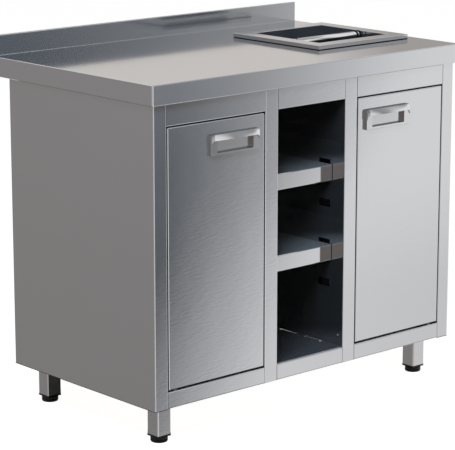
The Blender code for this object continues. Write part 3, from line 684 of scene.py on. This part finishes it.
def makeFeet(p):
    for row in ("front", "back"):
        for side in ("left", "right"):
            nodeName = f"foot_{row}_{side}"
            low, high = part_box(nodeName)
            centre = ((low.x + high.x) / 2, (low.y + high.y) / 2, 0.0)
            top = p["padHeight"]
            toe = p["toe"] * p["toeShare"]
            profile = [(0.0, 0.0), (0.0, p["pad"] - p["toe"]), (toe, p["pad"] - toe),
                       (p["toe"], p["pad"]), (p["groove"] - p["grooveDepth"], p["pad"]),
                       (p["groove"], p["pad"] - p["grooveDepth"]), (p["groove"] + p["grooveDepth"], p["pad"]),
                       (top - p["shoulder"], p["pad"]),
                       (top - p["shoulder"] * p["shoulderShare"], p["pad"] - p["shoulderIn"]),
                       (top, p["neck"]), (top, p["stud"]), (p["threadFrom"], p["stud"])]
            turn = p["threadFrom"] + p["pitch"]
            while turn < high.z - p["pitch"]:
                profile += [(turn - p["pitch"] / 2, p["stud"] - p["thread"]), (turn, p["stud"])]
                turn += p["pitch"]
            profile += [(high.z, p["stud"] - p["thread"]), (high.z, 0.0)]
            bm = bmesh.new()
            spinProfile(bm, profile, (0, 0, 1), centre, p["steps"])
            name = f"levellingFoot{row.capitalize()}{side.capitalize()}"
            finishPiece(name, bm, f"{row}_{side}_foot", [moulded["blackPlastic"]], [nodeName],
                        p["smoothAngle"])


makeFeet(levellingFoot)


# Handles: the flat brushed plate of the CAD form, a duller pocket floor, and dark steel painted as shade on
# faces turned up or down
handlePlate = {"depth": 0.0078, "proud": 0.0002, "pocket": 0.0050, "merge": 0.00001, "facing": 0.9,
               "level": 0.7}


def makeHandlePlates(p):
    for side in ("left", "right"):
        nodeName = f"handle_{side}"
        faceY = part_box(f"door_{side}_skin")[0].y - p["depth"]
        bm = bmesh.new()
        bm.from_mesh(nodes[nodeName].data)
        bmesh.ops.remove_doubles(bm, verts=bm.verts, dist=p["merge"])
        facets = [face for face in bm.faces if face.calc_center_median().y < faceY - p["proud"]]
        bmesh.ops.delete(bm, geom=facets, context="FACES")
        bmesh.ops.holes_fill(bm, edges=[edge for edge in bm.edges if edge.is_boundary], sides=0)
        for face in bm.faces:
            if face.normal.y < -p["facing"] and face.calc_center_median().y > faceY + p["pocket"]:
                face.material_index = 1
            elif abs(face.normal.z) > p["level"]:
                # painted shade: faces turned up or down take the dark steel
                face.material_index = 2
        finishPiece(f"handlePlate{side.capitalize()}", bm, f"{side}_door",
                    [steels["sheetSteel"], steels["pocketSteel"], steels["paintedShadeSteel"]], [nodeName])


makeHandlePlates(handlePlate)


# Handle hoods: from a straight crest down to a bowed lip, which turns down at both ends
handleHood = {"round": 0.0004, "height": 0.0140, "leg": 0.0100, "corner": 0.0060, "proud": 0.0020,
              "sink": 0.0010, "bow": 0.0050, "sheet": 0.0015, "across": 40, "down": 8, "smoothAngle": 40}


def makeHandleHoods(p):
    seat = p["proud"] + p["sink"]
    for side in ("left", "right"):
        nodeName = f"handle_{side}"
        low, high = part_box(nodeName)
        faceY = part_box(f"door_{side}_skin")[0].y - handlePlate["depth"]
        reach = (high.x - low.x) / 2 - p["round"]
        bm = bmesh.new()
        bmesh.ops.create_grid(bm, x_segments=p["across"], y_segments=p["down"], size=0.5)
        thick = bm.verts.layers.float.new("thick")
        for vert in bm.verts:
            offset = reach * math.sin(math.pi * vert.co.x)
            down = 0.5 - vert.co.y
            share = (offset / reach) ** 2
            turn = max(0.0, abs(offset) - reach + p["corner"])
            crestZ = high.z - p["round"] / 2 - p["corner"] + math.sqrt(max(0.0, p["corner"] ** 2 - turn ** 2))
            turn = max(0.0, abs(offset) - reach + p["leg"])
            lowZ = high.z - p["height"] - p["leg"] + math.sqrt(max(0.0, p["leg"] ** 2 - turn ** 2))
            vert.co = ((low.x + high.x) / 2 + offset, faceY - p["proud"] - p["bow"] * (1 - share) * down,
                       crestZ + (lowZ - crestZ) * down)
            vert[thick] = seat + (p["sheet"] - seat) * (1 - share) * down
        front = list(bm.verts)
        bmesh.ops.extrude_face_region(bm, geom=list(bm.faces), use_keep_orig=True)
        for vert in set(bm.verts) - set(front):
            vert.co.y += vert[thick]
        finishPiece(f"handleHood{side.capitalize()}", bm, f"{side}_door",
                    [steels["polishedSteel"]], [nodeName], p["smoothAngle"])


makeHandleHoods(handleHood)
print("turned and smooth pieces made")


# Small fixings with domed heads
dome = {"sunkShare": 0.5, "rim": 1.25, "steps": 4, "smoothAngle": 40}
rivet = {"head": 0.0032, "height": 0.0012, "hole": 0.0009, "steps": 16}
nicheRivets = {"setback": 0.0180, "level": 0.1645, "wallGap": 0.0003}
backRivets = {"edge": 0.0090, "levels": (0.150, 0.300, 0.450, 0.600, 0.740)}
handleScrews = {"head": 0.0042, "height": 0.0018, "socket": 0.0018, "apart": 0.0620, "steps": 18}


def domeHead(bm, centre, axis, p, hollow):
    # Domed head with a small sunk middle
    floor = p["height"] * (1.0 - dome["sunkShare"])
    rim = hollow * dome["rim"]
    profile = [(floor, 0.0), (floor, hollow), (p["height"], rim)]
    for step in range(1, dome["steps"] + 1):
        a = math.pi / 2 * step / dome["steps"]
        profile.append((p["height"] * math.cos(a), rim + (p["head"] - rim) * math.sin(a)))
    profile.append((0.0, 0.0))
    spinProfile(bm, profile, axis, centre, p["steps"])


def makeFixings():
    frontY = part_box("bottom_rail_middle")[0].y
    for side, sign in (("left", -1), ("right", 1)):
        bm = bmesh.new()
        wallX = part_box("bottom_rail_middle")[1].x + nicheRivets["wallGap"]
        domeHead(bm, (sign * wallX, frontY + nicheRivets["setback"], nicheRivets["level"]), (-sign, 0, 0),
                 rivet, rivet["hole"])
        finishPiece(f"nicheRivet{side.capitalize()}", bm, "cabinet", [steels["polishedSteel"]],
                    smoothAngle=dome["smoothAngle"])
        bm = bmesh.new()
        low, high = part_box(f"side_{side}")
        outerX = low.x if sign < 0 else high.x
        for level in backRivets["levels"]:
            domeHead(bm, (outerX - sign * backRivets["edge"], high.y, level), (0, 1, 0), rivet, rivet["hole"])
        finishPiece(f"backRivets{side.capitalize()}", bm, "cabinet", [steels["polishedSteel"]],
                    smoothAngle=dome["smoothAngle"])
        bm = bmesh.new()
        low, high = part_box(f"handle_{side}")
        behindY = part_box(f"door_{side}_liner")[1].y
        for offset in (-handleScrews["apart"], handleScrews["apart"]):
            domeHead(bm, ((low.x + high.x) / 2 + offset, behindY, (low.z + high.z) / 2), (0, 1, 0),
                     handleScrews, handleScrews["socket"])
        finishPiece(f"handleScrews{side.capitalize()}", bm, f"{side}_door", [zinc],
                    smoothAngle=dome["smoothAngle"])


makeFixings()
print("fixings made")


# Dark strips set in the joints between posts and rails, as painted shade of the seams, and thin dark strips
# under the side sheets, as painted shade under their edges
paintedJointShade = {"width": 0.0012, "setback": 0.0004, "depth": 0.0022, "bevel": 0.0001}
paintedEdgeShade = {"height": 0.0014, "thickness": 0.0010, "bevel": 0.0002}


def putBar(bm, low, high, bevel):
    made = bmesh.ops.create_cube(bm, size=1.0)["verts"]
    middle = (Vector(low) + Vector(high)) / 2
    for vert in made:
        vert.co = middle + Vector(b - a for a, b in zip(low, high)) * vert.co
    edges = list({edge for vert in made for edge in vert.link_edges})
    bmesh.ops.bevel(bm, geom=edges, offset=bevel, affect="EDGES", segments=1, profile=0.5, material=-1)


# painted shade: black strips in the post and rail joints stand for the shadow in the seams
def makePaintedJointShade(p):
    bm = bmesh.new()
    for level in ("top", "bottom"):
        for place in ("left", "middle", "right"):
            low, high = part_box(f"{level}_rail_{place}")
            frontY = low.y + p["setback"]
            for start, end in ((low.x - p["width"], low.x), (high.x, high.x + p["width"])):
                putBar(bm, (start, frontY, low.z), (end, frontY + p["depth"], high.z), p["bevel"])
    finishPiece("paintedJointShade", bm, "cabinet", [moulded["blackRubber"]])


# painted shade: a black strip under each side sheet stands for the shadow beneath its bottom edge
def makePaintedEdgeShade(p):
    for side, sign in (("left", -1), ("right", 1)):
        low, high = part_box(f"side_{side}")
        outerX = low.x if sign < 0 else high.x
        innerX = high.x if sign < 0 else low.x
        bm = bmesh.new()
        for across, along in (((outerX, outerX - sign * p["thickness"]), (low.y, high.y)),
                              ((outerX, innerX), (low.y, low.y + p["thickness"]))):
            putBar(bm, (min(across), along[0], low.z - p["height"]), (max(across), along[1], low.z),
                   p["bevel"])
        finishPiece(f"paintedEdgeShade{side.capitalize()}", bm, "cabinet", [moulded["blackRubber"]])


makePaintedJointShade(paintedJointShade)
makePaintedEdgeShade(paintedEdgeShade)
print("joints filled")
